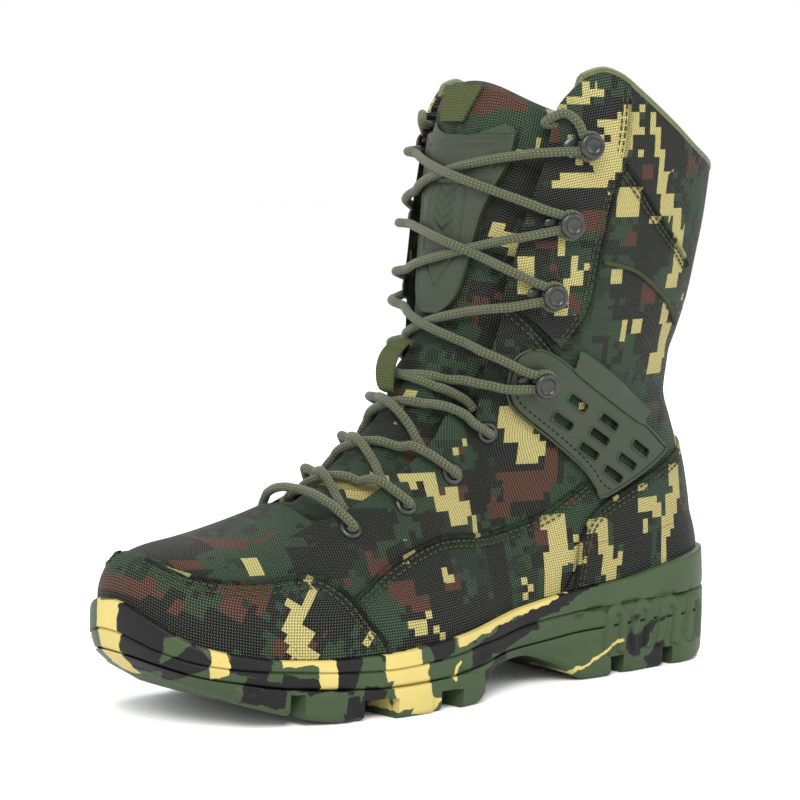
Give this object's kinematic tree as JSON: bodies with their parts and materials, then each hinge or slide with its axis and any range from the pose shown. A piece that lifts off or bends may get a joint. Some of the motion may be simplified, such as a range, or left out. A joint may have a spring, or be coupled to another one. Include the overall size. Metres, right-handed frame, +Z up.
{
  "type": "tactical boot",
  "caption": "Lace-up tactical field boot, left foot, with lugged rubber sole, fabric upper, padded tongue, slotted ankle plates, eyelets and speed hooks.",
  "frame": {"origin": "on the floor under the middle of the boot's box, measured over the hooks", "axes": "+X from heel to toe, +Y to the outer side of the foot, +Z up"},
  "size_m": [0.3066, 0.12, 0.2661],
  "materials": {
    "sole_rubber": "matt marbled",
    "camo_canvas": "woven",
    "lining": "soft",
    "moulded_plate": "satin",
    "webbing": "ribbed",
    "lace": "braided",
    "dark_metal": "satin"
  },
  "bodies": {
    "root": {"outsole": "sole_rubber", "midsole": "sole_rubber", "insole": "lining", "upper": "camo_canvas", "tongue": "camo_canvas", "tongue_plate": "moulded_plate", "tongue_tab": "webbing", "lace_keeper": "webbing", "toe_cap": "camo_canvas", "heel_counter": "camo_canvas", "collar_piping": "webbing", "facing_outer": "camo_canvas", "ankle_plate_outer": "moulded_plate", "eyelet_outer_1": "dark_metal", "eyelet_outer_2": "dark_metal", "eyelet_outer_3": "dark_metal", "eyelet_outer_4": "dark_metal", "hook_outer_1": "dark_metal", "hook_outer_2": "dark_metal", "hook_outer_3": "dark_metal", "hook_outer_4": "dark_metal", "facing_inner": "camo_canvas", "ankle_plate_inner": "moulded_plate", "eyelet_inner_1": "dark_metal", "eyelet_inner_2": "dark_metal", "eyelet_inner_3": "dark_metal", "eyelet_inner_4": "dark_metal", "hook_inner_1": "dark_metal", "hook_inner_2": "dark_metal", "hook_inner_3": "dark_metal", "hook_inner_4": "dark_metal", "lace_bar": "lace", "lace_crossing_1": "lace", "lace_crossing_2": "lace", "lace_crossing_3": "lace", "lace_crossing_4": "lace", "lace_crossing_5": "lace", "lace_crossing_6": "lace", "lace_crossing_7": "lace"}
  },
  "joints": []
}
